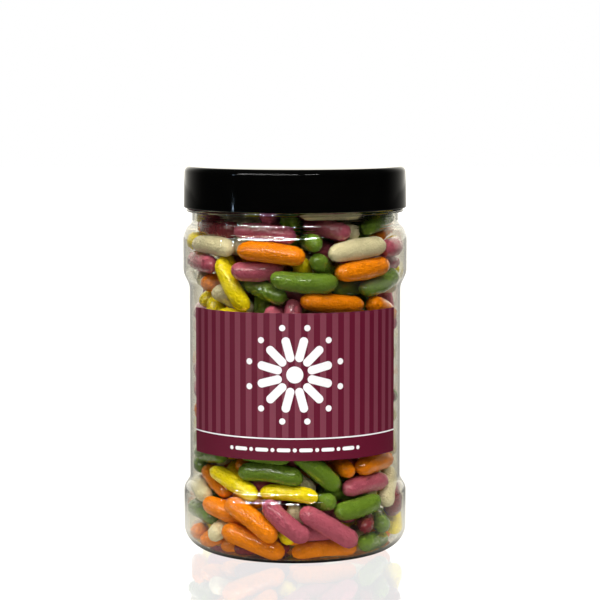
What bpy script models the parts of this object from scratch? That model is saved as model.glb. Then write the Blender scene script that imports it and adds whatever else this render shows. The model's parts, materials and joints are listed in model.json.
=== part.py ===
"""A jar of liquorice comfits.

A clear blow-moulded plastic jar with a waisted panel, a black screw-on lid, a paper label
wrapped round the panel, and the heap of sugar-coated liquorice comfits that fills it.
The jar stands on the origin with +Z up, and the middle of its label faces -Y.
"""

import math
import random

import bmesh
import bpy
import numpy as np
from mathutils import Vector

MM = 0.001
GAP = 0.3 * MM  # left between pieces that touch

# The jar: radii and heights of its outside, from the foot up.
FOOT_INNER_RADIUS = 30.0 * MM
FOOT_OUTER_RADIUS = 34.2 * MM
PUSH_UP = 4.0 * MM
HEEL_HEIGHT = 9.6 * MM
BAND_RADIUS = 46.4 * MM
PANEL_RADIUS = 43.9 * MM
LOW_BAND_TOP = 24.9 * MM
PANEL_BOTTOM = 30.9 * MM
PANEL_TOP = 108.9 * MM
HIGH_BAND_BOTTOM = 116.9 * MM
SHOULDER_BOTTOM = 128.9 * MM
NECK_BOTTOM = 135.9 * MM
NECK_RADIUS = 42.7 * MM
BEAD_RADIUS = 45.0 * MM
BEAD_BOTTOM = 140.9 * MM
BEAD_TOP = 142.3 * MM
BODY_WALL = 1.2 * MM
NECK_WALL = 1.6 * MM
JAR_SIDES = 44
OUTSIDE_STEPS = (4, 3, 3)  # of the heel, each step in the wall, and the shoulder
INSIDE_STEPS = (3, 2, 2)

# The lid.
LID_TOP = 159.7 * MM
LID_RADIUS = 46.1 * MM
LID_WALL = 1.4 * MM
LID_TOP_THICKNESS = 1.5 * MM
LID_EDGE_ROUND = 1.6 * MM

# The label, a thin sheet round the front of the panel.
LABEL_BOTTOM = 43.4 * MM
LABEL_TOP = 102.7 * MM
LABEL_THICKNESS = 0.25 * MM
LABEL_HALF_ANGLE = math.radians(65.5)
LABEL_STEPS = 28

# One comfit, before its own small differences.
COMFIT_LENGTH = 25.5 * MM
COMFIT_RADIUS = 4.3 * MM
COMFIT_SIDES = 6

# The heap: a core set in from the wall, with comfits fused on all round it.
HEAP_GAP = 0.45 * MM
CORE_INSET = 7.4 * MM
CORE_TOP = 141.5 * MM
CORE_SIDES = 28
HEAP_TOP = 149.5 * MM
SUNK_IN_TOP = 2.0 * MM  # how deep the comfits on top lie in the core
WALL_TRIES = 5000
TOP_TRIES = 200
SPACING = 0.90  # of a comfit's width, how near two comfits' middles may come
SLOPE_SPREAD = math.radians(22)
SEED = 26

# Comfits at the front of the heap: degrees round the jar from the label's middle, height in
# mm, slope in degrees (right end up), and depth in mm behind the wall.
FRONT_COMFITS = (
    (23, 140, 0, 0), (-63, 135, 2, 3), (-17, 141, 30, 4), (-19, 134, -5, 0), (19, 134, -9, 2),
    (66, 134, 2, 3), (-54, 127, -2, 0), (-13, 126, -7, 0), (38, 127, 9, 0), (43, 119, 9, 0),
    (87, 126, 0, 0), (-85, 119, 0, 0), (-39, 114, -48, 0), (-24, 119, -7, 3), (5, 115, -4, 0),
    (-20, 110, -9, 5), (65, 112, 10, 1), (-72, 112, 15, 1), (-63, 104, 38, 1), (-38, 102, -10, 0),
    (-4, 103, 70, 3), (23, 106, -6, 0), (68, 102, -12, 0), (30, 98, -4, 3), (-87, 100, 0, 1),
    (-53, 39, 0, 1), (-21, 42, -3, 2), (-14, 35, -9, 0), (14, 37, -47, 1), (57, 37, 12, 0),
    (49, 30, 15, 0), (-78, 29, -10, 4), (-40, 31, -28, 0), (-2, 27, -3, 0), (-87, 23, 0, 0),
    (-78, 15, -2, 0), (-47, 20, -23, 1), (-24, 19, -35, 0), (-7, 18, -40, 1), (19, 16, -28, 0),
    (40, 22, 20, 2), (74, 22, 25, 1), (90, 14, 7, 2), (55, 7, 2, 0), (-23, 9, -22, 0),
    (18, 6, 3, 0),
)  # fmt: skip


def plastic(name, colour, roughness, alpha=1.0):
    """A plain finish for one piece."""
    material = bpy.data.materials.new(name)
    material.use_nodes = True
    shader = material.node_tree.nodes["Principled BSDF"]
    shader.inputs["Base Color"].default_value = (*colour, 1.0)
    shader.inputs["Roughness"].default_value = roughness
    shader.inputs["Metallic"].default_value = 0.0
    shader.inputs["Alpha"].default_value = alpha
    return material


def new_object(name, bm, material):
    """An object made from a finished bmesh, shaded smooth with its hard edges kept."""
    mesh = bpy.data.meshes.new(name)
    bm.to_mesh(mesh)
    bm.free()
    mesh.materials.append(material)
    mesh.shade_smooth()
    mesh.set_sharp_from_angle(angle=math.radians(35))
    piece = bpy.data.objects.new(name, mesh)
    bpy.context.collection.objects.link(piece)
    return piece


def turned(profile, sides):
    """A closed solid turned round Z. The profile is (radius, height) points that start and end
    on the axis and run up the outside."""
    bm = bmesh.new()
    rings = []
    for radius, height in profile:
        if radius < 1e-7:
            pole = bm.verts.new((0, 0, height))
            rings.append([pole] * sides)
            continue
        angles = [2 * math.pi * i / sides for i in range(sides)]
        rings.append([bm.verts.new((radius * math.cos(a), radius * math.sin(a), height)) for a in angles])
    for low, high in zip(rings, rings[1:]):
        for i in range(sides):
            j = (i + 1) % sides
            corners = [low[i], low[j], high[j], high[i]]
            bm.faces.new([c for n, c in enumerate(corners) if c not in corners[:n]])
    bmesh.ops.recalc_face_normals(bm, faces=bm.faces)
    return bm


def eased(start, end, steps):
    """Points of a smooth S-shaped step in a wall, from one (radius, height) to another."""
    (r0, z0), (r1, z1) = start, end
    shares = [i / steps for i in range(steps + 1)]
    return [(r0 + (r1 - r0) * (1 - math.cos(math.pi * t)) / 2, z0 + (z1 - z0) * t) for t in shares]


def elliptic(centre, radii, start, end, steps):
    """Points of an elliptic arc, with its start and end in degrees from the radius direction."""
    angles = [math.radians(start + (end - start) * i / steps) for i in range(steps + 1)]
    return [(centre[0] + radii[0] * math.cos(a), centre[1] + radii[1] * math.sin(a)) for a in angles]


def body_wall(inset, steps):
    """The side of the jar from its foot to its neck, set in from the outside by that much."""
    heel_steps, wall_steps, shoulder_steps = steps
    band = BAND_RADIUS - inset
    panel = PANEL_RADIUS - inset
    heel = (BAND_RADIUS - FOOT_OUTER_RADIUS - inset, HEEL_HEIGHT - inset)
    shoulder = (BAND_RADIUS - NECK_RADIUS, NECK_BOTTOM - SHOULDER_BOTTOM)
    return (
        elliptic((FOOT_OUTER_RADIUS, HEEL_HEIGHT), heel, -90, 0, heel_steps)
        + eased((band, LOW_BAND_TOP), (panel, PANEL_BOTTOM), wall_steps)
        + eased((panel, PANEL_TOP), (band, HIGH_BAND_BOTTOM), wall_steps)
        + elliptic((NECK_RADIUS - inset, SHOULDER_BOTTOM), shoulder, 0, 90, shoulder_steps)
    )


def under_the_foot(lift):
    """The push-up under the jar, from the axis out to the foot's inner edge."""
    return eased((0.0, PUSH_UP + lift), (FOOT_INNER_RADIUS, lift), 3)


def wall_radius(height):
    """The inside radius of the jar's wall at a height."""
    points = body_wall(BODY_WALL, INSIDE_STEPS) + [(NECK_RADIUS - NECK_WALL, NECK_BOTTOM + BODY_WALL)]
    return float(np.interp(height, [z for _, z in points], [r for r, _ in points]))


def ball_reach(height):
    """How far from the axis a comfit's rounded end may lie at a height, clear of the wall."""
    ball = COMFIT_RADIUS + HEAP_GAP
    angles = [math.radians(a) for a in range(-90, 91, 15)]
    return min(wall_radius(height + ball * math.sin(a)) - ball * math.cos(a) for a in angles)


def build_jar():
    """The hollow jar: foot, heel, two bands round a waisted panel, shoulder, neck and bead."""
    rim = LID_TOP - LID_TOP_THICKNESS - GAP
    neck = (
        [(NECK_RADIUS, BEAD_BOTTOM), (BEAD_RADIUS, BEAD_BOTTOM + 0.5 * MM), (BEAD_RADIUS, BEAD_TOP)]
        + [(NECK_RADIUS, BEAD_TOP), (NECK_RADIUS, rim), (NECK_RADIUS - NECK_WALL, rim)]
    )
    inside = [(NECK_RADIUS - NECK_WALL, NECK_BOTTOM + BODY_WALL)]
    inside += body_wall(BODY_WALL, INSIDE_STEPS)[::-1] + under_the_foot(BODY_WALL)[::-1]
    profile = under_the_foot(0.0) + body_wall(0.0, OUTSIDE_STEPS) + neck + inside
    clear = plastic("clear_plastic", (0.86, 0.88, 0.86), 0.06, alpha=0.25)
    return new_object("jar", turned(profile, JAR_SIDES), clear)


def build_lid():
    """The lid: a flat top with a rounded edge and a plain skirt down to the jar's bead."""
    skirt_bottom = BEAD_TOP + GAP
    under = LID_TOP - LID_TOP_THICKNESS
    inner = LID_RADIUS - LID_WALL
    edge = elliptic(
        (LID_RADIUS - LID_EDGE_ROUND - 0.2 * MM, LID_TOP - LID_EDGE_ROUND),
        (LID_EDGE_ROUND, LID_EDGE_ROUND), 0, 90, 3,
    )  # fmt: skip
    profile = [(0.0, under), (inner, under), (inner, skirt_bottom), (LID_RADIUS, skirt_bottom)]
    profile += edge + [(0.0, LID_TOP)]
    return new_object("lid", turned(profile, JAR_SIDES), plastic("black_plastic", (0.012, 0.012, 0.011), 0.18))


def build_label():
    """The label: a thin sheet bent round the panel, its middle at the front."""
    inner = PANEL_RADIUS + GAP
    bm = bmesh.new()
    columns = []
    for i in range(LABEL_STEPS + 1):
        angle = -math.pi / 2 + LABEL_HALF_ANGLE * (2 * i / LABEL_STEPS - 1)
        c, s = math.cos(angle), math.sin(angle)
        corners = ((inner, LABEL_BOTTOM), (inner + LABEL_THICKNESS, LABEL_BOTTOM),
                   (inner + LABEL_THICKNESS, LABEL_TOP), (inner, LABEL_TOP))  # fmt: skip
        columns.append([bm.verts.new((r * c, r * s, z)) for r, z in corners])
    bm.faces.new(columns[0])
    bm.faces.new(columns[-1][::-1])
    for left, right in zip(columns, columns[1:]):
        for k in range(4):
            m = (k + 1) % 4
            bm.faces.new((left[k], right[k], right[m], left[m]))
    bmesh.ops.recalc_face_normals(bm, faces=bm.faces)
    return new_object("label", bm, plastic("label_paper", (0.13, 0.011, 0.029), 0.4))


def comfit_spine(azimuth, height, slope, depth, length):
    """The two ends of a comfit's straight middle, as it lies along the inside of the wall."""
    half = length / 2 - COMFIT_RADIUS
    across = half * math.cos(slope)
    rise = half * math.sin(slope)
    height = max(height, BODY_WALL + COMFIT_RADIUS + 2 * HEAP_GAP + abs(rise))
    height = min(height, HEAP_TOP - COMFIT_RADIUS - abs(rise))
    reach = min(ball_reach(height + k * rise) for k in (-1, -0.5, 0, 0.5, 1)) - depth
    middle = math.sqrt(reach * reach - across * across)
    outward = Vector((math.sin(azimuth), -math.cos(azimuth), 0))
    along = Vector((math.cos(azimuth) * across, math.sin(azimuth) * across, rise))
    centre = outward * middle + Vector((0, 0, height))
    return centre - along, centre + along


def top_spine(draw, length):
    """A comfit lying flat on the core's dome, turned any way."""
    half = length / 2 - COMFIT_RADIUS
    place = draw.uniform(0, 2 * math.pi)
    turn = draw.uniform(0, math.pi)
    off_axis = (NECK_RADIUS - NECK_WALL - CORE_INSET - half) * math.sqrt(draw.random())
    height = CORE_TOP + COMFIT_RADIUS - SUNK_IN_TOP
    centre = Vector((off_axis * math.cos(place), off_axis * math.sin(place), height))
    along = Vector((half * math.cos(turn), half * math.sin(turn), 0))
    return centre - along, centre + along


def lay_comfits():
    """Spines for the comfits that show: the chosen ones at the front, then as many as find room
    round the rest of the wall and on top."""
    draw = random.Random(SEED)
    spines = []
    laid = []

    def points_of(spine):
        return np.array([spine[0].lerp(spine[1], k / 6) for k in range(7)])

    def has_room(spine):
        nearest = min(
            (np.linalg.norm(old[:, None] - points_of(spine)[None], axis=2).min() for old in laid),
            default=1.0,
        )
        return nearest > 2 * COMFIT_RADIUS * SPACING

    def lay(spine):
        spines.append(spine)
        laid.append(points_of(spine))

    for azimuth, height, slope, depth in FRONT_COMFITS:
        lay(comfit_spine(math.radians(azimuth), height * MM, math.radians(slope), depth * MM, COMFIT_LENGTH))
    for _ in range(TOP_TRIES):
        spine = top_spine(draw, COMFIT_LENGTH)
        if has_room(spine):
            lay(spine)
    for _ in range(WALL_TRIES):
        azimuth = draw.uniform(-math.pi, math.pi)
        height = draw.uniform(BODY_WALL + COMFIT_RADIUS, CORE_TOP + SUNK_IN_TOP)
        slope = draw.gauss(0, SLOPE_SPREAD)
        depth = draw.uniform(0, 2 * MM)
        length = COMFIT_LENGTH * draw.uniform(0.86, 1.06)
        spine = comfit_spine(azimuth, height, slope, depth, length)
        if has_room(spine):
            lay(spine)
    return spines


def comfit_bmesh(spine):
    """One comfit as a few-sided rounded bar round its spine."""
    start, end = spine
    axis = (end - start).normalized()
    side = axis.orthogonal().normalized()
    other = axis.cross(side)
    stations = ((-0.72, 0.70), (0.0, 1.0), (1.0, 1.0), (1.72, 0.70))
    bm = bmesh.new()
    rings = []
    for place, width in stations:
        # Below 0 and above 1 a station lies in a rounded end, in radii beyond the spine's end.
        on_spine = min(max(place, 0.0), 1.0)
        middle = start.lerp(end, on_spine) + axis * ((place - on_spine) * COMFIT_RADIUS)
        ring = []
        for i in range(COMFIT_SIDES):
            a = 2 * math.pi * i / COMFIT_SIDES
            out = side * math.cos(a) + other * math.sin(a)
            ring.append(bm.verts.new(middle + out * (COMFIT_RADIUS * width)))
        rings.append(ring)
    tips = (bm.verts.new(start - axis * COMFIT_RADIUS), bm.verts.new(end + axis * COMFIT_RADIUS))
    for i in range(COMFIT_SIDES):
        j = (i + 1) % COMFIT_SIDES
        bm.faces.new((tips[0], rings[0][j], rings[0][i]))
        bm.faces.new((tips[1], rings[-1][i], rings[-1][j]))
        for low, high in zip(rings, rings[1:]):
            bm.faces.new((low[i], low[j], high[j], high[i]))
    bmesh.ops.recalc_face_normals(bm, faces=bm.faces)
    return bm


def core_profile():
    """The heap's core: the jar's inside, drawn in from the wall, with a low dome on top."""
    foot = BODY_WALL + PUSH_UP + HEAP_GAP
    low = BODY_WALL + 5.5 * MM
    heights = [low + 3 * MM, LOW_BAND_TOP, PANEL_BOTTOM, PANEL_TOP, HIGH_BAND_BOTTOM, SHOULDER_BOTTOM]
    side = [(wall_radius(z) - CORE_INSET, z) for z in heights]
    neck = wall_radius(NECK_BOTTOM) - CORE_INSET
    dome = elliptic((0.0, NECK_BOTTOM), (neck, CORE_TOP - NECK_BOTTOM), 0, 90, 4)
    return [(0.0, foot), (FOOT_INNER_RADIUS - 4 * MM, low)] + side + dome[:-1] + [(0.0, CORE_TOP)]


def drop_loose_shells(mesh):
    """Keeps the one outer shell: shells sealed inside it and loose scraps are removed."""
    bm = bmesh.new()
    bm.from_mesh(mesh)
    bm.faces.ensure_lookup_table()
    seen = set()
    shells = []
    for seed in bm.faces:
        if seed in seen:
            continue
        shell, front = [], [seed]
        seen.add(seed)
        while front:
            face = front.pop()
            shell.append(face)
            for edge in face.edges:
                for near in edge.link_faces:
                    if near not in seen:
                        seen.add(near)
                        front.append(near)
        shells.append(shell)
    shells.sort(key=len)
    bmesh.ops.delete(bm, geom=[face for shell in shells[:-1] for face in shell], context="FACES")
    bm.to_mesh(mesh)
    bm.free()


def build_heap():
    """The comfits as one solid: the core and every comfit that shows, joined by one union."""
    sugar = plastic("sugar_shell", (0.80, 0.30, 0.06), 0.3)
    heap = new_object("comfits", turned(core_profile(), CORE_SIDES), sugar)
    loose = bpy.data.collections.new("loose_comfits")
    bpy.context.scene.collection.children.link(loose)
    for n, spine in enumerate(lay_comfits()):
        piece = new_object(f"comfit_{n}", comfit_bmesh(spine), sugar)
        bpy.context.collection.objects.unlink(piece)
        loose.objects.link(piece)
    union = heap.modifiers.new("join", "BOOLEAN")
    union.operation = "UNION"
    union.operand_type = "COLLECTION"
    union.collection = loose
    union.solver = "EXACT"
    joined = bpy.data.meshes.new_from_object(heap.evaluated_get(bpy.context.evaluated_depsgraph_get()))
    heap.modifiers.clear()
    heap.data = joined
    for piece in list(loose.objects):
        bpy.data.objects.remove(piece)
    bpy.data.collections.remove(loose)
    drop_loose_shells(joined)
    joined.name = "comfits"
    return heap


for old in list(bpy.data.objects):
    bpy.data.objects.remove(old)

build_jar()
build_lid()
build_label()
build_heap()
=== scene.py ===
"""Looks of a jar of liquorice comfits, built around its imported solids."""

import json
import math

import bmesh
import bpy
import numpy as np
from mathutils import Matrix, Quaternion, Vector

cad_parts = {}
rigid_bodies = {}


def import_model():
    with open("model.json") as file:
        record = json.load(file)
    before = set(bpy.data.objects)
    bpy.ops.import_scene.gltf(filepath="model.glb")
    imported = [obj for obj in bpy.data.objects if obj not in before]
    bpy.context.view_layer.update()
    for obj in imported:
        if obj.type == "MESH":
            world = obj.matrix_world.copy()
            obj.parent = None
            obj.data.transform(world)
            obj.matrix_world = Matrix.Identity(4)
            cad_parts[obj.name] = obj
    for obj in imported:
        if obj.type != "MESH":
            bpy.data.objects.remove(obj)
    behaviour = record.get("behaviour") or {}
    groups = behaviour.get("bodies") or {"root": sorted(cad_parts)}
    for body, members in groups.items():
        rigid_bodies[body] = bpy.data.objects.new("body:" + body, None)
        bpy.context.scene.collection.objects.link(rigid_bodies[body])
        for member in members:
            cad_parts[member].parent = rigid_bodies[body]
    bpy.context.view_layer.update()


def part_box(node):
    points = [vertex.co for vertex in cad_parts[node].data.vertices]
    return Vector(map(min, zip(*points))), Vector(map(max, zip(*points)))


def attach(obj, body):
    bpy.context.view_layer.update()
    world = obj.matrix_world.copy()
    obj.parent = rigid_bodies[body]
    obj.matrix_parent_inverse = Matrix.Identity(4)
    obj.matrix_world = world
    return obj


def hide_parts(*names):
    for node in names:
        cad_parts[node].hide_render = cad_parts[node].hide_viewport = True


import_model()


# ---------------------------------------------------------------- the jar
# A blow-moulded jar of clear PET: a push-up foot, a rounded heel, two plain bands round a waisted
# panel, a shoulder, and a neck whose bead carries the lid. Its wall is a little under 1 mm.

MM = 0.001
BAND_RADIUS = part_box("jar")[1].x
JAR_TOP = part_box("jar")[1].z
PANEL_RADIUS = BAND_RADIUS - 2.5 * MM
NECK_RADIUS = BAND_RADIUS - 3.7 * MM
BEAD_RADIUS = BAND_RADIUS - 1.4 * MM
FOOT_INNER_RADIUS = 30.0 * MM
FOOT_OUTER_RADIUS = 34.2 * MM
PUSH_UP = 4.0 * MM
HEEL_HEIGHT = 9.6 * MM
LOW_BAND_TOP = 24.9 * MM
PANEL_BOTTOM = 30.9 * MM
PANEL_TOP = 108.9 * MM
HIGH_BAND_BOTTOM = 116.9 * MM
SHOULDER_BOTTOM = 128.9 * MM
SHOULDER_TURN = 72
NECK_BOTTOM = 135.9 * MM
NECK_START = 137.6 * MM
NECK_HOLLOW = 1.8 * MM
NECK_RINGS = 3
NECK_RING_DEPTH = 0.012 * MM
NECK_RING_MARGIN = 0.2 * MM
BEAD_BOTTOM = 140.9 * MM
BEAD_TOP = 142.3 * MM
BEAD_ROUND = 0.6 * MM
BODY_WALL = 0.8 * MM
NECK_WALL = 1.0 * MM
BORE_BOTTOM = NECK_START + 2.5 * MM
JAR_SIDES = 160


def mesh_piece(name, points, faces, material):
    """An object at the origin from plain points and faces, shaded smooth, its faces outwards."""
    bm = bmesh.new()
    verts = [bm.verts.new(p) for p in points]
    for face in faces:
        bm.faces.new([verts[i] for i in face])
    bmesh.ops.recalc_face_normals(bm, faces=bm.faces)
    mesh = bpy.data.meshes.new(name)
    bm.to_mesh(mesh)
    bm.free()
    mesh.materials.append(material)
    mesh.shade_smooth()
    mesh.set_sharp_from_angle(angle=math.radians(40))
    piece = bpy.data.objects.new(name, mesh)
    bpy.context.collection.objects.link(piece)
    return piece


def turned_piece(name, profile, sides, material):
    """A closed shape turned round Z. The profile's (radius, height) points start and end on the
    axis and run up the outside."""
    points, rings = [], []
    for radius, height in profile:
        if radius < 1e-7:
            rings.append([len(points)] * sides)
            points.append((0, 0, height))
            continue
        rings.append(list(range(len(points), len(points) + sides)))
        for i in range(sides):
            angle = 2 * math.pi * i / sides
            points.append((radius * math.cos(angle), radius * math.sin(angle), height))
    faces = []
    for low, high in zip(rings, rings[1:]):
        for i in range(sides):
            j = (i + 1) % sides
            corners = [low[i], low[j], high[j], high[i]]
            faces.append([c for n, c in enumerate(corners) if c not in corners[:n]])
    return mesh_piece(name, points, faces, material)


def eased(start, end, steps):
    """Points of a smooth S-shaped step in a wall, from one (radius, height) to another."""
    (r0, z0), (r1, z1) = start, end
    shares = [i / steps for i in range(steps + 1)]
    return [(r0 + (r1 - r0) * (1 - math.cos(math.pi * t)) / 2, z0 + (z1 - z0) * t) for t in shares]


def elliptic(centre, radii, start, end, steps):
    """Points of an elliptic arc, with its start and end in degrees from the radius direction."""
    angles = [math.radians(start + (end - start) * i / steps) for i in range(steps + 1)]
    return [(centre[0] + radii[0] * math.cos(a), centre[1] + radii[1] * math.sin(a)) for a in angles]


def body_wall(inset):
    """The side of the jar from its foot to its neck, set in from the outside by that much."""
    band = BAND_RADIUS - inset
    panel = PANEL_RADIUS - inset
    heel = (BAND_RADIUS - FOOT_OUTER_RADIUS - inset, HEEL_HEIGHT - inset)
    shoulder = (BAND_RADIUS - NECK_RADIUS - inset, NECK_BOTTOM - SHOULDER_BOTTOM - inset)
    hollow = NECK_HOLLOW + inset
    return (
        elliptic((FOOT_OUTER_RADIUS, HEEL_HEIGHT), heel, -90, 0, 14)
        + eased((band, LOW_BAND_TOP), (panel, PANEL_BOTTOM), 10)
        + eased((panel, PANEL_TOP), (band, HIGH_BAND_BOTTOM), 10)
        + elliptic((NECK_RADIUS, SHOULDER_BOTTOM), shoulder, 0, SHOULDER_TURN, 12)
        + elliptic((NECK_RADIUS + NECK_HOLLOW, NECK_START), (hollow, hollow), 236, 180, 6)
    )


def under_the_foot(lift):
    """The push-up under the jar, from the axis out to the foot's inner edge."""
    return eased((0.0, PUSH_UP + lift), (FOOT_INNER_RADIUS, lift), 10)


def new_finish(name, settings):
    """A material with those settings of its Principled BSDF, its node tree and that shader."""
    material = bpy.data.materials.new(name)
    material.use_nodes = True
    shader = material.node_tree.nodes["Principled BSDF"]
    for socket, value in settings.items():
        shader.inputs[socket].default_value = value
    return material, material.node_tree, shader


def noise(tree, scale, detail):
    """Noise through a piece, with about that many grains to the metre."""
    place = tree.nodes.new("ShaderNodeTexCoord")
    grain = tree.nodes.new("ShaderNodeTexNoise")
    grain.inputs["Scale"].default_value = scale
    grain.inputs["Detail"].default_value = detail
    tree.links.new(place.outputs["Object"], grain.inputs["Vector"])
    return grain.outputs["Fac"]


def ranged(tree, value, low, high, to_low, to_high):
    """A value carried over from one range to another, and held at its ends."""
    carried = tree.nodes.new("ShaderNodeMapRange")
    carried.inputs["From Min"].default_value = low
    carried.inputs["From Max"].default_value = high
    carried.inputs["To Min"].default_value = to_low
    carried.inputs["To Max"].default_value = to_high
    tree.links.new(value, carried.inputs["Value"])
    return carried.outputs["Result"]


def bumped(tree, height, strength, distance):
    """The normal of a surface with that relief."""
    bump = tree.nodes.new("ShaderNodeBump")
    bump.inputs["Strength"].default_value = strength
    bump.inputs["Distance"].default_value = distance
    tree.links.new(height, bump.inputs["Height"])
    return bump.outputs["Normal"]


def clear_plastic():
    """Clear PET, faintly wavy. It casts next to no shadow and doesn't show in gloss, so the lamps
    light the sweets inside it and show in their polish."""
    material, tree, plastic = new_finish("clear_plastic", {
        "Base Color": (0.95, 0.935, 0.87, 1),
        "Metallic": 0.0,
        "Transmission Weight": 1.0,
        "IOR": 1.57,
    })  # fmt: skip
    nodes, links = tree.nodes, tree.links
    waves = noise(tree, 38.0, 2.0)
    links.new(ranged(tree, waves, 0.0, 1.0, 0.0, 0.05), plastic.inputs["Roughness"])
    links.new(bumped(tree, waves, 0.1, 0.4 * MM), plastic.inputs["Normal"])
    path = nodes.new("ShaderNodeLightPath")
    through = nodes.new("ShaderNodeBsdfTransparent")
    through.inputs["Color"].default_value = (0.93, 0.94, 0.93, 1)
    seen = plastic.outputs["BSDF"]
    for ray in ("Is Reflection Ray", "Is Shadow Ray"):
        clear = nodes.new("ShaderNodeMixShader")
        links.new(path.outputs[ray], clear.inputs["Fac"])
        links.new(seen, clear.inputs[1])
        links.new(through.outputs["BSDF"], clear.inputs[2])
        seen = clear.outputs["Shader"]
    links.new(seen, nodes["Material Output"].inputs["Surface"])
    return material


def neck_wall():
    """The neck above the shoulder: fine rings under the bead, the bead, and a plain rim."""
    rings = []
    steps = 8 * NECK_RINGS
    low, high = NECK_START + NECK_RING_MARGIN, BEAD_BOTTOM - NECK_RING_MARGIN
    for i in range(steps):
        t = i / steps
        swell = NECK_RING_DEPTH * math.sin(2 * math.pi * NECK_RINGS * t)
        rings.append((NECK_RADIUS + swell, low + (high - low) * t))
    half_bead = (BEAD_TOP - BEAD_BOTTOM) / 2
    bead_middle = (BEAD_RADIUS - BEAD_ROUND, BEAD_BOTTOM + half_bead)
    bead = elliptic(bead_middle, (BEAD_ROUND, half_bead), -90, 90, 8)
    rim = [(NECK_RADIUS, BEAD_TOP), (NECK_RADIUS, JAR_TOP), (NECK_RADIUS - NECK_WALL, JAR_TOP)]
    return rings + [(NECK_RADIUS, BEAD_BOTTOM)] + bead + rim


jar_profile = under_the_foot(0.0) + body_wall(0.0) + neck_wall()
jar_profile += [(NECK_RADIUS - NECK_WALL, BORE_BOTTOM)]
jar_profile += body_wall(BODY_WALL)[::-1] + under_the_foot(BODY_WALL)[::-1]
jar = turned_piece("clear_jar", jar_profile, JAR_SIDES, clear_plastic())
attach(jar, "root")
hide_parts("jar")


# ---------------------------------------------------------------- the comfits
# Soft liquorice bars, each tumbled in a pan until it has a thick polished sugar shell, in six
# colours. They are poured in loose: those at the front lie about as listed, the rest find room.

COMFIT_LENGTH = 27.0 * MM
COMFIT_RADIUS = 3.75 * MM
COMFIT_SIDES = 10
COMFIT_COUNT = 440
SHAPE_KINDS = 6
HEAP_TOP = 149.5 * MM
WALL_CLEARANCE = 0.15 * MM
LOOSE_REACH = 38 * MM
REACH_BEHIND_LISTED = 0.72
LISTED_BELOW = 46 * MM
LISTED_ABOVE = 96 * MM

COLOURS = {
    "orange": (0.80, 0.210, 0.003),
    "yellow": (0.90, 0.685, 0.006),
    "green": (0.12, 0.200, 0.018),
    "pink": (0.42, 0.085, 0.125),
    "cream": (0.68, 0.59, 0.355),
    "red": (0.17, 0.022, 0.028),
}
SHARES = {"orange": 0.25, "yellow": 0.16, "green": 0.24, "pink": 0.17, "cream": 0.11, "red": 0.07}

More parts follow.
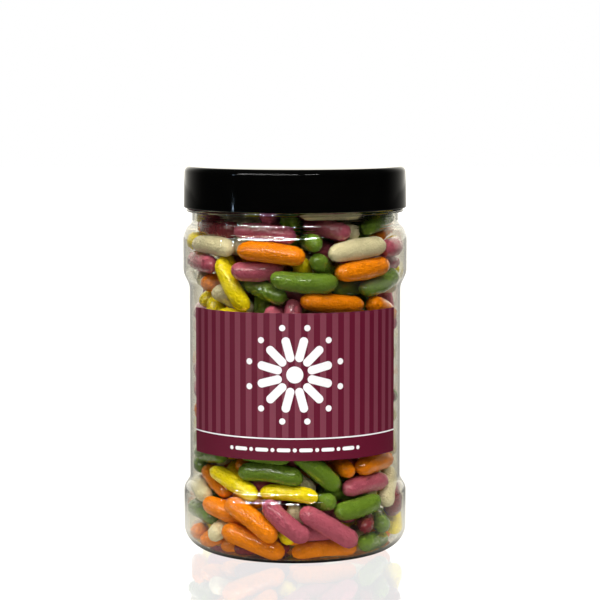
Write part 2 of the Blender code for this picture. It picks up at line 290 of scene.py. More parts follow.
# Comfits at the front, two to a line. Each has the middles of its two round ends, as degrees round
# the jar from the middle of the label, height in mm and depth in mm behind the wall, for one end
# and the other, and then its thickness in mm and its colour.
FRONT_COMFITS = (
    (-27, 127.5, 0, 0, 125.5, 0, 8.5, "orange"), (-66, 127, 0, -41, 127.5, 1, 7.6, "cream"),
    (24, 126, 0, 52, 128.5, 0, 8.3, "cream"), (28, 119, 0, 56, 120.5, 0, 8.2, "orange"),
    (-46, 121, 0, -32, 107.5, 0, 7.3, "yellow"), (-31, 119.5, 0, -12, 119, 5, 8.0, "pink"),
    (-8, 115.5, 0, 19, 115.2, 0, 8.1, "green"), (8, 107.5, 0, 37, 105, 0, 7.9, "orange"),
    (56, 104, 0, 80, 99, 0, 7.8, "orange"), (48, 111, 1, 75, 115, 0, 7.6, "green"),
    (35, 112, 7, 63, 112, 8, 7.6, "green"), (11, 130.5, 0, 11, 130.5, 17, 7.6, "green"),
    (14, 122.5, 1, 27, 119, 13, 7.6, "green"), (4, 122, 8, 12, 121.5, 22, 7.4, "yellow"),
    (-34, 133, 1, -6, 132.5, 2, 7.4, "pink"), (28, 133.5, 1, 12, 134.5, 11, 7.6, "pink"),
    (38, 135, 3, 40, 135, 20, 7.6, "cream"), (51, 134, 2, 78, 133, 2, 7.6, "green"),
    (8, 140.5, 1, 38, 140, 1, 7.6, "cream"), (-18, 139, 3, -22, 137.5, 19, 7.6, "pink"),
    (-3, 138, 5, 5, 138, 21, 7.6, "green"), (-66, 133, 1, -43, 134, 3, 8.2, "red"),
    (-60, 131, 7, -38, 132, 10, 7.6, "cream"), (-61, 115, 0.5, -61, 114, 17, 7.8, "orange"),
    (-52, 109, 3, -40, 101, 7, 7.6, "cream"), (-60, 104.5, 1, -58, 90, 2, 7.6, "yellow"),
    (-46, 101, 0, -21, 98.5, 0, 7.6, "yellow"), (-15, 103, 2, -15, 102, 19, 7.2, "pink"),
    (-3, 106, 3, -6, 89, 1, 7.6, "pink"), (-31, 112, 4, -11.5, 109.8, 1.5, 7.8, "green"),
    (72, 108, 4, 80, 92, 3, 7.6, "green"), (-79, 129.5, 1, -104, 130, 1, 7.6, "yellow"),
    (-53, 121.5, 0, -80, 121.5, 0, 7.6, "pink"), (-72, 114.5, 2, -98, 114, 1, 7.6, "cream"),
    (-64, 100, 1, -90, 101, 1, 7.6, "pink"), (62, 127, 3, 88, 127, 1, 7.6, "pink"),
    (64, 120.5, 5, 92, 120, 1, 7.6, "pink"), (76, 132, 3, 102, 132, 1, 7.6, "orange"),
    (-53, 34, 0, -27, 28, 0, 7.4, "yellow"), (-17, 26.9, 1, 8, 26.9, 0, 6.9, "yellow"),
    (-29, 35, 0, -1, 35, 0, 8.2, "green"), (20, 31.5, 0, 2, 42.5, 1, 8.2, "green"),
    (30, 36.5, 1, 30, 36, 18, 7.4, "orange"), (45, 37.5, 0, 70, 38.5, 0, 7.8, "orange"),
    (35, 30, 0, 62, 31.5, 0, 7.8, "pink"), (27, 22, 1, 48, 23.5, 0, 7.8, "green"),
    (19, 23.5, 2, 12, 22.5, 16, 7.6, "green"), (-16, 22.5, 0, 2, 14, 0, 8.0, "pink"),
    (5.5, 19.5, 0, 31, 11.5, 0, 8.4, "pink"), (43, 15, 1.5, 66, 15, 12, 7.6, "red"),
    (58, 12, 1, 83, 12.5, 7, 7.6, "green"), (44, 7, 0, 72, 6.5, 0, 7.6, "green"),
    (82, 10, 1, 96, 17, 2, 7.6, "yellow"), (67, 22.5, 1, 80, 31, 1, 7.6, "cream"),
    (-55, 22, 1, -35, 17.5, 3, 7.9, "orange"), (-36, 23, 0, -13, 15.5, 0, 8.2, "orange"),
    (-37, 12.3, 0, -11, 7, 0, 8.4, "orange"), (6, 5.2, 0, 38, 5.2, 0, 7.6, "orange"),
    (-50, 14.3, 1, -52, 14, 18, 7.6, "cream"), (-67, 33, 1.5, -49, 27.5, 4.5, 7.6, "orange"),
    (-50, 40, 2, -76, 40.5, 3, 7.6, "green"), (-47, 36.5, 6, -55, 38, 22, 7.6, "orange"),
    (-29, 41.5, 1, -6, 43, 2, 7.6, "green"), (23, 40.5, 5, 40, 46, 10, 7.6, "red"),
    (-61, 9, 1, -61, 9, 17, 7.6, "orange"), (-74, 5.5, 3, -60, 5.5, 16, 7.6, "pink"),
    (-52, 5.5, 3, -45, 5.5, 19, 7.6, "orange"), (-46, 5.2, 5, -18, 5.2, 7, 7.6, "red"),
    (-4, 10.5, 3, -15, 12, 17, 7.6, "yellow"), (9, 11.5, 6, 30, 8, 9, 7.6, "pink"),
    (-4, 19.4, 6, 5, 18.5, 20, 7.4, "cream"), (74, 18.5, 0, 92, 25, 2, 7.6, "red"),
    (-61, 16.5, 5, -86, 17.8, 0, 7.4, "green"), (-64, 26, 0, -90, 27, 0, 7.6, "cream"),
    (-71, 9.2, 2, -96, 9.5, 2, 7.6, "orange"),
)  # fmt: skip


def wall_radius(heights):
    """The inside radius of the jar's wall at each height."""
    points = body_wall(BODY_WALL) + [(NECK_RADIUS - NECK_WALL, BORE_BOTTOM)]
    return np.interp(heights, [z for _, z in points], [r for r, _ in points])


# How far off the jar's axis the middle of a comfit's round end can lie, height by height.
HEIGHTS = np.linspace(0, JAR_TOP, 640)
BALL = COMFIT_RADIUS + WALL_CLEARANCE
BALL_ANGLES = np.radians(np.arange(-90, 91, 10))
REACHES = (
    wall_radius(HEIGHTS[:, None] + BALL * np.sin(BALL_ANGLES)) - BALL * np.cos(BALL_ANGLES)
).min(axis=1)


def wall_place(azimuth, height, depth):
    """The middle of a comfit's round end that lies that deep behind the wall."""
    azimuth = math.radians(azimuth)
    off_axis = np.interp(height * MM, HEIGHTS, REACHES) - depth * MM
    return np.array((off_axis * math.sin(azimuth), -off_axis * math.cos(azimuth), height * MM))


def furthest_out(height, radius):
    """How far off the jar's axis a comfit of that radius can lie at that height."""
    return np.interp(height, HEIGHTS, REACHES) + COMFIT_RADIUS - radius


def lowest(off_axis, radius):
    """How low a comfit of that radius can lie over the push-up, that far off the jar's axis."""
    share = np.clip(off_axis / FOOT_INNER_RADIUS, 0, 1)
    floor = BODY_WALL + PUSH_UP * (1 + np.cos(math.pi * share)) / 2
    return floor + WALL_CLEARANCE + radius


def loose_spines(draw, count):
    """Spines thrown in anywhere inside the jar, most of them near level. Where comfits are listed
    at the wall, they fall further in."""
    height = draw.uniform(6 * MM, HEAP_TOP - 2 * MM, count)
    off_axis = LOOSE_REACH * np.sqrt(draw.uniform(0, 1, count))
    azimuth = draw.uniform(0, 2 * math.pi, count)
    listed_here = (height < LISTED_BELOW) | (height > LISTED_ABOVE)
    in_front = (np.sin(azimuth) < -0.3) & listed_here
    off_axis = np.where(in_front, off_axis * REACH_BEHIND_LISTED, off_axis)
    centre = np.stack((off_axis * np.cos(azimuth), off_axis * np.sin(azimuth), height), axis=1)
    slope = draw.normal(0, 0.38, count)
    turn = draw.uniform(0, 2 * math.pi, count)
    level = np.cos(slope)
    along = np.stack((np.cos(turn) * level, np.sin(turn) * level, np.sin(slope)), axis=1)
    half = COMFIT_LENGTH * draw.uniform(0.82, 1.04, count) / 2 - COMFIT_RADIUS
    return centre - along * half[:, None], centre + along * half[:, None]


def nearest_places(a1, b1, a2, b2):
    """Where along each of two sets of spines they come nearest to each other, from 0 to 1."""
    d1, d2, gap = b1 - a1, b2 - a2, a1 - a2
    aa, bb, ab = (d1 * d1).sum(1), (d2 * d2).sum(1), (d1 * d2).sum(1)
    ag, bg = (d1 * gap).sum(1), (d2 * gap).sum(1)
    cross = np.maximum(aa * bb - ab * ab, 1e-18)
    first = np.clip((ab * bg - ag * bb) / cross, 0, 1)
    second = np.clip((ab * first + bg) / bb, 0, 1)
    return np.clip((ab * second - ag) / aa, 0, 1), second


def find_room(a, b, radius, ease, passes, grown_by, sink):
    """Moves overlapping comfits apart, a little each pass, and keeps their ends and three spots
    between them inside the jar. ease is how freely each one moves. They grow to full width over
    the first passes. Places are kept on a grid of a ten-thousandth of a millimetre, so that every
    computer lays them alike."""
    length = np.linalg.norm(b - a, axis=1)
    for step in range(passes):
        width = radius * min(1.0, 0.55 + 0.45 * step / max(grown_by, 1))
        if step % 8 == 0:
            middle = (a + b) / 2
            i, j = np.triu_indices(len(a), 1)
            apart = np.linalg.norm(middle[i] - middle[j], axis=1)
            near = apart < (length[i] + length[j]) / 2 + radius[i] + radius[j] + 2 * MM
            i, j = i[near], j[near]
        s, t = nearest_places(a[i], b[i], a[j], b[j])
        away = a[i] + (b[i] - a[i]) * s[:, None] - a[j] - (b[j] - a[j]) * t[:, None]
        distance = np.maximum(np.linalg.norm(away, axis=1), 1e-9)
        overlap = np.maximum(width[i] + width[j] - distance, 0)
        push = away / distance[:, None] * (0.6 * overlap / (ease[i] + ease[j]))[:, None]
        move_a, move_b = np.zeros_like(a), np.zeros_like(b)
        for who, where, sign in ((i, s, 1), (j, t, -1)):
            lever = (1 - where) ** 2 + where**2
            shove = push * (sign * ease[who])[:, None]
            np.add.at(move_a, who, shove * ((1 - where) / lever)[:, None])
            np.add.at(move_b, who, shove * (where / lever)[:, None])
        for ends, move in ((a, move_a), (b, move_b)):
            ends += move
            ends[:, 2] -= sink * ease
            off_axis = np.hypot(ends[:, 0], ends[:, 1])
            ends[:, 2] = np.clip(ends[:, 2], lowest(off_axis, radius), HEAP_TOP - radius)
            room = furthest_out(ends[:, 2], radius)
            ends[:, :2] *= np.minimum(1, room / np.maximum(off_axis, 1e-9))[:, None]
        for share in (0.25, 0.5, 0.75):
            spot = a + (b - a) * share
            off_axis = np.hypot(spot[:, 0], spot[:, 1])
            lift = np.maximum(lowest(off_axis, radius) - spot[:, 2], 0)
            room = furthest_out(spot[:, 2], radius)
            inwards = spot[:, :2] * np.minimum(room / np.maximum(off_axis, 1e-9) - 1, 0)[:, None]
            for ends in (a, b):
                ends[:, 2] += lift
                ends[:, :2] += inwards
        middle, along = (a + b) / 2, b - a
        along *= (length / np.linalg.norm(along, axis=1) / 2)[:, None]
        a, b = np.round(middle - along, 7), np.round(middle + along, 7)
    return a, b


def lay_comfits():
    """The spine, radius and colour of every comfit in the jar."""
    draw = np.random.default_rng(11)
    listed = len(FRONT_COMFITS)
    loose = COMFIT_COUNT - listed
    loose_a, loose_b = loose_spines(draw, loose)
    a = np.concatenate(([wall_place(*row[:3]) for row in FRONT_COMFITS], loose_a))
    b = np.concatenate(([wall_place(*row[3:6]) for row in FRONT_COMFITS], loose_b))
    thickness = np.array([row[6] for row in FRONT_COMFITS])
    radius = np.concatenate((thickness / 2, draw.uniform(3.5, 4.15, loose))) * MM
    depth = np.array([min(row[2], row[5]) for row in FRONT_COMFITS])
    ease = np.concatenate((0.02 + 0.04 * depth, np.ones(loose)))
    a, b = find_room(a, b, radius, ease, passes=500, grown_by=250, sink=0.01 * MM)
    a, b = find_room(a, b, radius, ease, passes=200, grown_by=0, sink=0.0)
    names = list(SHARES)
    share = np.array([SHARES[n] for n in names])
    drawn = draw.choice(names, size=loose, p=share / share.sum())
    return a, b, radius, [row[7] for row in FRONT_COMFITS] + list(drawn)


def comfit_shape(kind):
    """One kind of comfit along X: a round bar with domed ends, a little bent, tapered and lumpy."""
    draw = np.random.default_rng(100 + kind)
    end_length = 1.3 * COMFIT_RADIUS
    half = COMFIT_LENGTH / 2 - end_length
    bend = draw.uniform(0.0, 0.7) * MM
    taper = draw.uniform(-0.05, 0.05)
    waist = draw.uniform(-0.08, 0.0)
    oval = draw.uniform(0.97, 1.04)
    lump = draw.uniform(0, 2 * math.pi, 2)
    dome = [math.radians(a) for a in (27, 54, 82)]
    stations = [(-half - end_length * math.cos(a), math.sin(a)) for a in dome]
    stations.append((0.0, 1.0))
    stations += [(half + end_length * math.cos(a), math.sin(a)) for a in reversed(dome)]
    points = [(-half - end_length, 0, -bend)]
    for x, width in stations:
        along = x / (half + end_length)
        lift = bend * (1 - 2 * along * along)
        girth = width * (1 + taper * along) * (1 - waist * math.cos(math.pi * along))
        wave = 0.012 * math.sin(3 * along + lump[1])
        for i in range(COMFIT_SIDES):
            angle = 2 * math.pi * i / COMFIT_SIDES
            dent = 0.018 * math.sin(2 * angle + lump[0] + 2 * along)
            r = COMFIT_RADIUS * girth * (1 + dent + wave)
            points.append((x, r * oval * math.cos(angle), lift + r / oval * math.sin(angle)))
    points.append((half + end_length, 0, -bend))
    rings = [range(1 + n * COMFIT_SIDES, 1 + (n + 1) * COMFIT_SIDES) for n in range(len(stations))]
    faces = []
    for i in range(COMFIT_SIDES):
        j = (i + 1) % COMFIT_SIDES
        faces.append((0, rings[0][j], rings[0][i]))
        faces.append((len(points) - 1, rings[-1][i], rings[-1][j]))
        faces += [(low[i], low[j], high[j], high[i]) for low, high in zip(rings, rings[1:])]
    return points, faces


def feed(tree, socket, value):
    """Sets a node's input to a number or colour, or joins another node's output to it."""
    if isinstance(value, bpy.types.NodeSocket):
        tree.links.new(value, socket)
    else:
        socket.default_value = value


def maths(tree, operation, *values):
    """The result of a sum on numbers and other nodes' outputs."""
    node = tree.nodes.new("ShaderNodeMath")
    node.operation = operation
    for socket, value in zip(node.inputs, values):
        feed(tree, socket, value)
    return node.outputs["Value"]


def sugar_mottle_group():
    """Shader group: the uneven colour, gloss and fine pitting of a panned sugar shell."""
    group = bpy.data.node_groups.new("sugar_mottle", "ShaderNodeTree")
    face = group.interface
    face.new_socket("Colour", in_out="INPUT", socket_type="NodeSocketColor")
    face.new_socket("Depth", in_out="INPUT", socket_type="NodeSocketFloat")
    face.new_socket("Colour", in_out="OUTPUT", socket_type="NodeSocketColor")
    for name in ("Roughness", "Polish", "Relief"):
        face.new_socket(name, in_out="OUTPUT", socket_type="NodeSocketFloat")
    nodes, links = group.nodes, group.links
    given, result = nodes.new("NodeGroupInput"), nodes.new("NodeGroupOutput")
    blotches = noise(group, 330.0, 3.0)
    pits = noise(group, 1100.0, 2.0)
    tone = nodes.new("ShaderNodeAttribute")
    tone.attribute_name = "tone"
    speckle = maths(group, "MULTIPLY_ADD", pits, 1.1, tone.outputs["Fac"])
    shade = nodes.new("ShaderNodeHueSaturation")
    links.new(given.outputs["Colour"], shade.inputs["Color"])
    links.new(maths(group, "MULTIPLY_ADD", blotches, 0.35, speckle), shade.inputs["Value"])
    relief = maths(group, "MULTIPLY_ADD", pits, 1.6, blotches)
    links.new(shade.outputs["Color"], result.inputs["Colour"])
    links.new(ranged(group, blotches, 0.40, 0.58, 0.05, 0.20), result.inputs["Roughness"])
    links.new(ranged(group, pits, 0.48, 0.55, 0.0, 1.0), result.inputs["Polish"])
    links.new(maths(group, "MULTIPLY", relief, given.outputs["Depth"]), result.inputs["Relief"])
    return group


def sugar_shell(name, colour, mottle):
    """The polished sugar shell of one colour."""
    material, tree, shell = new_finish("sugar_" + name, {
        "Metallic": 0.0,
        "Specular IOR Level": 0.08,
        "Coat Roughness": 0.05,
        "Coat IOR": 2.5,
    })  # fmt: skip
    spots = tree.nodes.new("ShaderNodeGroup")
    spots.node_tree = mottle
    spots.inputs["Colour"].default_value = (*colour, 1)
    spots.inputs["Depth"].default_value = 1.0
    tree.links.new(spots.outputs["Colour"], shell.inputs["Base Color"])
    tree.links.new(spots.outputs["Roughness"], shell.inputs["Roughness"])
    tree.links.new(spots.outputs["Polish"], shell.inputs["Coat Weight"])
    tree.links.new(bumped(tree, spots.outputs["Relief"], 1.0, 0.38 * MM), shell.inputs["Normal"])
    return material


def comfit_laying_tree():
    """Geometry nodes that set a comfit on every point: its kind, turn and size are the point's
    own attributes. Returns the tree and the identifiers of its inputs by name."""
    tree = bpy.data.node_groups.new("lay_comfits", "GeometryNodeTree")
    face = tree.interface
    face.new_socket("Points", in_out="INPUT", socket_type="NodeSocketGeometry")
    kinds = face.new_socket("Kinds", in_out="INPUT", socket_type="NodeSocketCollection")
    sugar = face.new_socket("Sugar", in_out="INPUT", socket_type="NodeSocketMaterial")
    face.new_socket("Comfits", in_out="OUTPUT", socket_type="NodeSocketGeometry")
    nodes, links = tree.nodes, tree.links
    given, result = nodes.new("NodeGroupInput"), nodes.new("NodeGroupOutput")

    def point_value(name, data_type):
        read = nodes.new("GeometryNodeInputNamedAttribute")
        read.data_type = data_type
        read.inputs["Name"].default_value = name
        return read.outputs["Attribute"]

    stock = nodes.new("GeometryNodeCollectionInfo")
    stock.inputs["Separate Children"].default_value = True
    stock.inputs["Reset Children"].default_value = True
    turn = nodes.new("FunctionNodeEulerToRotation")
    lay = nodes.new("GeometryNodeInstanceOnPoints")
    lay.inputs["Pick Instance"].default_value = True
    whole = nodes.new("GeometryNodeRealizeInstances")
    coat = nodes.new("GeometryNodeSetMaterial")
    links.new(given.outputs["Kinds"], stock.inputs["Collection"])
    links.new(given.outputs["Points"], lay.inputs["Points"])
    links.new(stock.outputs["Instances"], lay.inputs["Instance"])
    links.new(point_value("kind", "INT"), lay.inputs["Instance Index"])
    links.new(point_value("turn", "FLOAT_VECTOR"), turn.inputs["Euler"])
    links.new(turn.outputs["Rotation"], lay.inputs["Rotation"])
    links.new(point_value("size", "FLOAT_VECTOR"), lay.inputs["Scale"])
    links.new(lay.outputs["Instances"], whole.inputs["Geometry"])
    links.new(whole.outputs["Geometry"], coat.inputs["Geometry"])
    links.new(given.outputs["Sugar"], coat.inputs["Material"])
    links.new(coat.outputs["Geometry"], result.inputs["Comfits"])
    return tree, {"Kinds": kinds.identifier, "Sugar": sugar.identifier}


def laid_comfits(name, rows, draw, tree, sockets, kinds, material):
    """One plain mesh of all the comfits of one colour. rows holds their (end, end, radius)."""
    points = bpy.data.meshes.new(name)
    points.from_pydata([(a + b) / 2 for a, b, _ in rows], [], [])
    values = {"kind": [], "turn": [], "size": [], "tone": []}
    for a, b, radius in rows:
        along = Vector(b - a)
        roll = draw.uniform(0, 2 * math.pi)
        facing = along.to_track_quat("X", "Z") @ Quaternion((1, 0, 0), roll)
        wide = radius / COMFIT_RADIUS
        values["kind"].append(int(draw.integers(SHAPE_KINDS)))
        values["turn"] += facing.to_euler()
        values["size"] += ((along.length + 2 * radius) / COMFIT_LENGTH, wide, wide)
        values["tone"].append(0.27 + draw.normal(0, 0.05))
    for value, data_type, field in (
        ("kind", "INT", "value"), ("tone", "FLOAT", "value"),
        ("turn", "FLOAT_VECTOR", "vector"), ("size", "FLOAT_VECTOR", "vector"),
    ):  # fmt: skip
        points.attributes.new(value, data_type, "POINT").data.foreach_set(field, values[value])
    holder = bpy.data.objects.new(name, points)
    bpy.context.collection.objects.link(holder)
    laying = holder.modifiers.new("lay", "NODES")
    laying.node_group = tree
    laying[sockets["Kinds"]] = kinds
    laying[sockets["Sugar"]] = material
    evaluated = holder.evaluated_get(bpy.context.evaluated_depsgraph_get())
    made = bpy.data.meshes.new_from_object(evaluated)
    holder.modifiers.clear()
    holder.data = made
    bpy.data.meshes.remove(points)
    made.name = name
    made.shade_smooth()
    return holder


comfit_kinds = bpy.data.collections.new("comfit_kinds")
bpy.context.scene.collection.children.link(comfit_kinds)
mottle = sugar_mottle_group()
plain_sugar = bpy.data.materials.new("plain_sugar")
for number in range(SHAPE_KINDS):
    kind_piece = mesh_piece(f"kind_{number}", *comfit_shape(number), plain_sugar)
    bpy.context.collection.objects.unlink(kind_piece)
    comfit_kinds.objects.link(kind_piece)
laying_tree, laying_sockets = comfit_laying_tree()
ends_a, ends_b, radii, colour_names = lay_comfits()
chance = np.random.default_rng(5)
for n, (colour_name, colour) in enumerate(COLOURS.items()):
    every_row = zip(ends_a, ends_b, radii, colour_names)
    rows = [(a, b, radius) for a, b, radius, its_colour in every_row if its_colour == colour_name]
    sugar = sugar_shell(colour_name, colour, mottle)
    comfits = laid_comfits(
        "comfits_" + colour_name, rows, chance, laying_tree, laying_sockets, comfit_kinds, sugar
    )
    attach(comfits, "root")
    if n == 0:
        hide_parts("comfits")
for kind_piece in list(comfit_kinds.objects):
    bpy.data.objects.remove(kind_piece)
bpy.data.collections.remove(comfit_kinds)


# ---------------------------------------------------------------- the lid
# A moulded black polypropylene cap, polished outside, with a small rounded edge. It screws down
# onto the bead, and its inside is a plain hollow over the neck.

LID_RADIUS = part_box("lid")[1].x
LID_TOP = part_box("lid")[1].z
LID_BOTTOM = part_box("lid")[0].z
LID_WALL = 1.4 * MM
LID_TOP_THICKNESS = 1.5 * MM
LID_DRAFT = 0.25 * MM
LID_EDGE_ROUND = 2.5 * MM
LID_CHAMFER = 0.3 * MM


def blended(tree, share, under, over, data_type="RGBA"):
    """From under to over by a share, for two colours or, as FLOAT, for two numbers."""
    mix = tree.nodes.new("ShaderNodeMix")
    mix.data_type = data_type
    first, made = (6, 2) if data_type == "RGBA" else (2, 0)
    tree.links.new(share, mix.inputs[0])
    feed(tree, mix.inputs[first], under)
    feed(tree, mix.inputs[first + 1], over)
    return mix.outputs[made]


def black_plastic():
    """Polished black plastic, with the faint haze of handling."""
    material, tree, plastic = new_finish("black_plastic", {
        "Metallic": 0.0,
        "IOR": 1.49,
        "Specular IOR Level": 0.05,
    })  # fmt: skip
    haze = noise(tree, 90.0, 4.0)
    black, hazed = (0.0004, 0.0004, 0.0004, 1), (0.0012, 0.0012, 0.0011, 1)
    tree.links.new(blended(tree, haze, black, hazed), plastic.inputs["Base Color"])
    tree.links.new(ranged(tree, haze, 0.0, 1.0, 0.03, 0.1), plastic.inputs["Roughness"])
    return material


lid_inner = LID_RADIUS - LID_WALL
lid_ceiling = LID_TOP - LID_TOP_THICKNESS
lid_profile = [(0.0, lid_ceiling), (lid_inner, lid_ceiling), (lid_inner, LID_BOTTOM)]
lid_profile += [(LID_RADIUS - LID_CHAMFER, LID_BOTTOM), (LID_RADIUS, LID_BOTTOM + LID_CHAMFER)]
lid_profile += elliptic(
    (LID_RADIUS - LID_DRAFT - LID_EDGE_ROUND, LID_TOP - LID_EDGE_ROUND),
    (LID_EDGE_ROUND, LID_EDGE_ROUND), 0, 90, 10,
)  # fmt: skip
lid_profile += [(0.0, LID_TOP)]
lid = turned_piece("screw_lid", lid_profile, JAR_SIDES, black_plastic())
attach(lid, "root")
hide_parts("lid")


# ---------------------------------------------------------------- the label
# A printed self-adhesive paper label wrapped round the front of the panel: plum stripes with a
# white rosette over a plain plum band with a white row, parted by a thin white rule.

LABEL_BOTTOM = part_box("label")[0].z
LABEL_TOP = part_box("label")[1].z
LABEL_RADIUS = -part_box("label")[0].y
LABEL_HALF_ANGLE = math.asin(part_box("label")[1].x / LABEL_RADIUS)
LABEL_THICKNESS = 0.2 * MM
LABEL_COLUMNS = 96
DEEP_PLUM = (0.100, 0.0040, 0.0185, 1)
DUSTY_PLUM = (0.166, 0.0330, 0.0540, 1)
PRINT_WHITE = (0.80, 0.78, 0.78, 1)

# The print. Shares are of the label's height, and lengths are in mm on the paper. A ring of the
# rosette has its count of bars and its radius, and a bar has its half length and half width.
STRIPE_PAIRS = 20
BAND_SHARE = 0.146
RULE_SHARE = 0.009
ROSETTE_SHARE = 0.585
ROSETTE_HEART = 3.4
ROSETTE_PETALS = (12, 10.5, 3.4, 1.7)
ROSETTE_DOTS = (12, 19.4, 0.0, 1.25)
ROW_PITCH = 9.0
ROW_BAR = (2.0, 0.75)
ROW_DOT = (0.0, 0.8)
ROW_REACH = 28.3


def label_sheet(material):
    """The bent sheet, with a UV map that runs 0 to 1 along and up its printed side."""
    inner = LABEL_RADIUS - LABEL_THICKNESS
    corners = [(inner, LABEL_BOTTOM), (LABEL_RADIUS, LABEL_BOTTOM)]
    corners += [(LABEL_RADIUS, LABEL_TOP), (inner, LABEL_TOP)]
    points, faces = [], []
    for i in range(LABEL_COLUMNS + 1):
        angle = LABEL_HALF_ANGLE * (2 * i / LABEL_COLUMNS - 1)
        for radius, height in corners:
            points.append((radius * math.sin(angle), -radius * math.cos(angle), height))
    for i in range(LABEL_COLUMNS):
        for k in range(4):
            m = (k + 1) % 4
            faces.append((4 * i + k, 4 * i + 4 + k, 4 * i + 4 + m, 4 * i + m))
    faces += [(0, 1, 2, 3), tuple(4 * LABEL_COLUMNS + k for k in (3, 2, 1, 0))]
    sheet = mesh_piece("paper_label", points, faces, material)
    uv = sheet.data.uv_layers.new(name="print")
    for loop in sheet.data.loops:
        x, y, z = sheet.data.vertices[loop.vertex_index].co
        along = (math.atan2(x, -y) / LABEL_HALF_ANGLE + 1) / 2
        uv.data[loop.index].uv = (along, (z - LABEL_BOTTOM) / (LABEL_TOP - LABEL_BOTTOM))
    return sheet


def label_paper():
    """Coated paper printed in two plums and white."""
    material, tree, paper = new_finish("label_paper", {"Metallic": 0.0, "Specular IOR Level": 0.08})
    nodes, links = tree.nodes, tree.links

    def number(operation, *values):
        return maths(tree, operation, *values)

    def distance(x, y):
        """How far a place is from the middle."""
        return number("SQRT", number("ADD", number("MULTIPLY", x, x), number("MULTIPLY", y, y)))

    def within_cell(position, width):
        """How far a place is past the middle of its cell, in a row of cells that wide."""
        share = number("FRACT", number("DIVIDE", position, width))
        return number("MULTIPLY", number("SUBTRACT", share, 0.5), width)

    def bar(x, y, half_length, half_width):
        """1 inside a bar with round ends that lies along x."""
        past_end = number("MAXIMUM", number("SUBTRACT", number("ABSOLUTE", x), half_length), 0.0)
        return number("LESS_THAN", distance(past_end, y), half_width)

    def ring_of_bars(radius, angle, count, ring_radius, half_length, half_width):
        """Bars set like spokes on a ring."""
        turn = within_cell(angle, 2 * math.pi / count)
        outwards = number("MULTIPLY", radius, number("COSINE", turn))
        across = number("MULTIPLY", radius, number("SINE", turn))
        return bar(number("SUBTRACT", outwards, ring_radius), across, half_length, half_width)

    spread = nodes.new("ShaderNodeUVMap")
    spread.uv_map = "print"
    parts = nodes.new("ShaderNodeSeparateXYZ")
    links.new(spread.outputs["UV"], parts.inputs["Vector"])
    along, up = parts.outputs["X"], parts.outputs["Y"]
    stripe = number("FRACT", number("MULTIPLY", along, float(STRIPE_PAIRS)))
    is_light = number("LESS_THAN", stripe, 0.5)
    above_band = number("GREATER_THAN", up, BAND_SHARE)
    above_rule = number("GREATER_THAN", up, BAND_SHARE + RULE_SHARE)
    is_rule = number("SUBTRACT", above_band, above_rule)
    width_mm = 2 * LABEL_HALF_ANGLE * LABEL_RADIUS / MM
    height_mm = (LABEL_TOP - LABEL_BOTTOM) / MM
    x = number("MULTIPLY", number("SUBTRACT", along, 0.5), width_mm)
    y = number("MULTIPLY", number("SUBTRACT", up, ROSETTE_SHARE), height_mm)
    radius, angle = distance(x, y), number("ARCTAN2", y, x)
    rosette = number("LESS_THAN", radius, ROSETTE_HEART)
    for ring in (ROSETTE_PETALS, ROSETTE_DOTS):
        rosette = number("MAXIMUM", rosette, ring_of_bars(radius, angle, *ring))
    band_y = number("MULTIPLY", number("SUBTRACT", up, BAND_SHARE / 2), height_mm)
    bars = bar(within_cell(x, ROW_PITCH), band_y, *ROW_BAR)
    dots = bar(within_cell(number("ADD", x, ROW_PITCH / 2), ROW_PITCH), band_y, *ROW_DOT)
    within_reach = number("LESS_THAN", number("ABSOLUTE", x), ROW_REACH)
    row = number("MULTIPLY", number("MAXIMUM", bars, dots), within_reach)
    is_white = number("MAXIMUM", number("MAXIMUM", is_rule, row), rosette)
    striped = blended(tree, number("MULTIPLY", is_light, above_rule), DEEP_PLUM, DUSTY_PLUM)
    printed = blended(tree, is_white, striped, PRINT_WHITE)
    fibre = noise(tree, 1200.0, 3.0)
    tint = nodes.new("ShaderNodeHueSaturation")
    links.new(printed, tint.inputs["Color"])
    links.new(number("MULTIPLY_ADD", fibre, 0.12, 0.94), tint.inputs["Value"])
    links.new(tint.outputs["Color"], paper.inputs["Base Color"])
    links.new(number("MULTIPLY_ADD", fibre, 0.2, 0.5), paper.inputs["Roughness"])
    links.new(bumped(tree, fibre, 0.05, 0.05 * MM), paper.inputs["Normal"])
    return material


label = label_sheet(label_paper())
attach(label, "root")
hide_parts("label")


# ---------------------------------------------------------------- the studio
# A white table that mirrors the jar faintly, white all round, broad soft lamps above, and thin
# bright lamps in front and to the left that show only as streaks and spots in gloss.

TABLE_REACH = 4.0
TABLE_DROP = 0.2 * MM


def facing_back_group():
    """Shader group: 0 to 1, how nearly a direction points to the back of the studio, low down."""
    group = bpy.data.node_groups.new("facing_back", "ShaderNodeTree")
    face = group.interface
    face.new_socket("Direction", in_out="INPUT", socket_type="NodeSocketVector")
    face.new_socket("Share", in_out="OUTPUT", socket_type="NodeSocketFloat")
    nodes, links = group.nodes, group.links
    given, result = nodes.new("NodeGroupInput"), nodes.new("NodeGroupOutput")
    parts = nodes.new("ShaderNodeSeparateXYZ")
    links.new(given.outputs["Direction"], parts.inputs["Vector"])
    turned = ranged(group, parts.outputs["Y"], 0.15, 1.0, 0.0, 1.0)
    low_down = ranged(group, parts.outputs["Z"], 0.35, 0.65, 1.0, 0.1)
    share = maths(group, "MULTIPLY", maths(group, "POWER", turned, 2.5), low_down)
    links.new(share, result.inputs["Share"])
    return group


def facing_back(tree, group, direction):
    """The group's share for that direction."""
    placed = tree.nodes.new("ShaderNodeGroup")
    placed.node_tree = group
    tree.links.new(direction, placed.inputs["Direction"])
    return placed.outputs["Share"]


def warm_in_gloss(tree, path):
    """White, or a little warmer where it shows in gloss."""
    return blended(tree, path.outputs["Is Glossy Ray"], (1, 1, 1, 1), (1.0, 0.965, 0.87, 1))


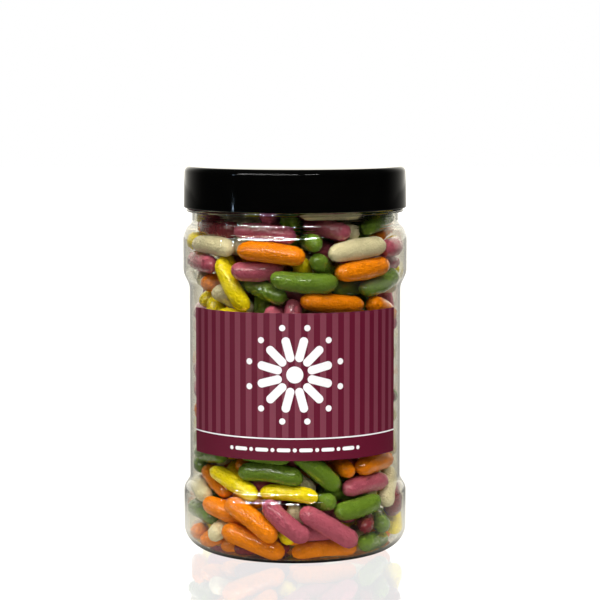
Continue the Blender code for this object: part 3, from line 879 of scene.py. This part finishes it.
def stage_floor(back_group):
    """The table top: even white to look at, with a faint mirror image of what stands on it. In the
    jar's own gloss it is bright behind and beside the jar and dark in front. Close to the jar it
    glows and so throws light up on the sweets, and under the foot its glow is dark: a painted
    shadow of the jar."""
    material = bpy.data.materials.new("table_white")
    material.use_nodes = True
    tree = material.node_tree
    nodes, links = tree.nodes, tree.links
    nodes.remove(nodes["Principled BSDF"])
    place, path = nodes.new("ShaderNodeTexCoord"), nodes.new("ShaderNodeLightPath")
    towards = nodes.new("ShaderNodeVectorMath")
    towards.operation = "NORMALIZE"
    away = nodes.new("ShaderNodeVectorMath")
    away.operation = "LENGTH"
    parts = nodes.new("ShaderNodeSeparateXYZ")
    for socket in (towards.inputs[0], away.inputs[0], parts.inputs["Vector"]):
        links.new(place.outputs["Object"], socket)
    distance = away.outputs["Value"]
    # Painted shadow of the jar: the table's glow is nearly dark under the foot and brightens beyond
    # it.
    shade = ranged(tree, distance, 40 * MM, 52 * MM, 0.04, 0.9)
    near = ranged(tree, distance, 100 * MM, 300 * MM, 0.9, 0.0)
    beside = ranged(tree, parts.outputs["Y"], -50 * MM, 10 * MM, 0.05, 1.0)
    round_heel = maths(tree, "MULTIPLY", maths(tree, "MULTIPLY", near, beside), shade)
    behind = facing_back(tree, back_group, towards.outputs["Vector"])
    in_gloss = maths(tree, "MAXIMUM", behind, round_heel)
    # Painted bounce light: near the jar the table glows for diffuse rays and so lights the sweets
    # from below.
    on_sweets = maths(tree, "MULTIPLY", near, 1.4)
    glow = shade
    for ray, seen in (
        ("Is Camera Ray", 0.77), ("Is Glossy Ray", in_gloss), ("Is Diffuse Ray", on_sweets),
    ):  # fmt: skip
        glow = blended(tree, path.outputs[ray], glow, seen, "FLOAT")
    light = nodes.new("ShaderNodeEmission")
    links.new(glow, light.inputs["Strength"])
    links.new(warm_in_gloss(tree, path), light.inputs["Color"])
    mirror = nodes.new("ShaderNodeBsdfGlossy")
    mirror.inputs["Color"].default_value = (0.35, 0.35, 0.35, 1)
    mirror.inputs["Roughness"].default_value = 0.04
    both = nodes.new("ShaderNodeAddShader")
    links.new(light.outputs["Emission"], both.inputs[0])
    links.new(mirror.outputs["BSDF"], both.inputs[1])
    for_camera = nodes.new("ShaderNodeMixShader")
    links.new(path.outputs["Is Camera Ray"], for_camera.inputs["Fac"])
    links.new(light.outputs["Emission"], for_camera.inputs[1])
    links.new(both.outputs["Shader"], for_camera.inputs[2])
    links.new(for_camera.outputs["Shader"], nodes["Material Output"].inputs["Surface"])
    sides = ((-1, -1), (1, -1), (1, 1), (-1, 1))
    corners = [(x * TABLE_REACH, y * TABLE_REACH, -TABLE_DROP) for x, y in sides]
    mesh_piece("table", corners, [(0, 1, 2, 3)], material)


def studio_world(back_group):
    """White for what looks straight or through the jar. In gloss it is bright behind and dark
    elsewhere, and it lends the comfits a little even light."""
    world = bpy.data.worlds.new("studio")
    world.use_nodes = True
    tree = world.node_tree
    nodes, links = tree.nodes, tree.links
    place, path = nodes.new("ShaderNodeTexCoord"), nodes.new("ShaderNodeLightPath")
    behind = facing_back(tree, back_group, place.outputs["Generated"])
    in_gloss = maths(tree, "MULTIPLY", behind, 2.0)
    strength = blended(tree, path.outputs["Is Glossy Ray"], 1.0, in_gloss, "FLOAT")
    strength = blended(tree, path.outputs["Is Diffuse Ray"], strength, 0.025, "FLOAT")
    links.new(strength, nodes["Background"].inputs["Strength"])
    links.new(warm_in_gloss(tree, path), nodes["Background"].inputs["Color"])
    bpy.context.scene.world = world


LAMP_DISTANCE = 1.3
LAMP_AIM_HEIGHT = 90 * MM


def lamp(name, azimuth, elevation, width, height, radiance, roll=0, colour=(1, 1, 1)):
    """A rectangular lamp round the jar: its direction in degrees from the middle of the label
    and up, its size in degrees as the jar sees it, how bright it is and how it is rolled."""
    light = bpy.data.lights.new(name, "AREA")
    light.shape = "RECTANGLE"
    light.size = 2 * LAMP_DISTANCE * math.tan(math.radians(width / 2))
    light.size_y = 2 * LAMP_DISTANCE * math.tan(math.radians(height / 2))
    light.energy = radiance * math.pi * light.size * light.size_y
    light.color = colour
    middle = Vector((0, 0, LAMP_AIM_HEIGHT))
    azimuth, elevation = math.radians(azimuth), math.radians(elevation)
    towards = Vector((math.sin(azimuth), -math.cos(azimuth), math.tan(elevation))).normalized()
    holder = bpy.data.objects.new(name, light)
    holder.location = middle + towards * LAMP_DISTANCE
    rolled = Quaternion((0, 0, 1), math.radians(roll))
    holder.rotation_euler = ((-towards).to_track_quat("-Z", "Y") @ rolled).to_euler()
    bpy.context.collection.objects.link(holder)
    return holder


def soft_light(*settings):
    """A broad lamp that lights things but leaves no shape in their gloss."""
    lamp(*settings).visible_glossy = False


def bright_tube(*settings):
    """A thin bright lamp that shows as a streak in gloss and doesn't light the colours."""
    lamp(*settings).visible_diffuse = False


studio_back = facing_back_group()
stage_floor(studio_back)
studio_world(studio_back)
bright_tube("tube_left_low", -37, 24, 48, 0.85, 380, 6)
bright_tube("tube_left_high", -38, 37, 40, 0.7, 380, 6)
bright_tube("tube_middle", -3, 28, 13, 1.0, 380)
bright_tube("tube_right", 18, 31, 12, 1.0, 380, 8)
bright_tube("blue_strip", -65, 11, 2, 4, 70, 0, (0.55, 0.75, 1.0))
bright_tube("blue_spot", -65, 1.1, 1.5, 0.3, 260, 0, (0.55, 0.75, 1.0))
soft_light("key", -25, 63, 50, 25, 12)
soft_light("fill", 40, 54, 40, 25, 6)
soft_light("front", 0, 28, 40, 20, 3.6)
soft_light("back", 165, 50, 50, 30, 9)


# ---------------------------------------------------------------- the camera
# Straight in front of the label and a little above the lid, tipped down to the jar's middle.

CAMERA_DISTANCE = 0.950
CAMERA_HEIGHT = 0.1964
CAMERA_TIP = math.radians(5.57)
IMAGE_SIZE = 600
FOCAL_PIXELS = 2293.0
AXIS_OFF_CENTRE = 5.0

camera_data = bpy.data.cameras.new("camera")
camera_data.sensor_width = 36.0
camera_data.lens = camera_data.sensor_width * FOCAL_PIXELS / IMAGE_SIZE
camera_data.clip_start = 0.05
camera_data.clip_end = 20.0
camera = bpy.data.objects.new("camera", camera_data)
camera.location = (AXIS_OFF_CENTRE * CAMERA_DISTANCE / FOCAL_PIXELS, -CAMERA_DISTANCE, CAMERA_HEIGHT)
camera.rotation_euler = (math.pi / 2 - CAMERA_TIP, 0, 0)
bpy.context.collection.objects.link(camera)
bpy.context.scene.camera = camera
bpy.context.scene.view_settings.view_transform = "Standard"
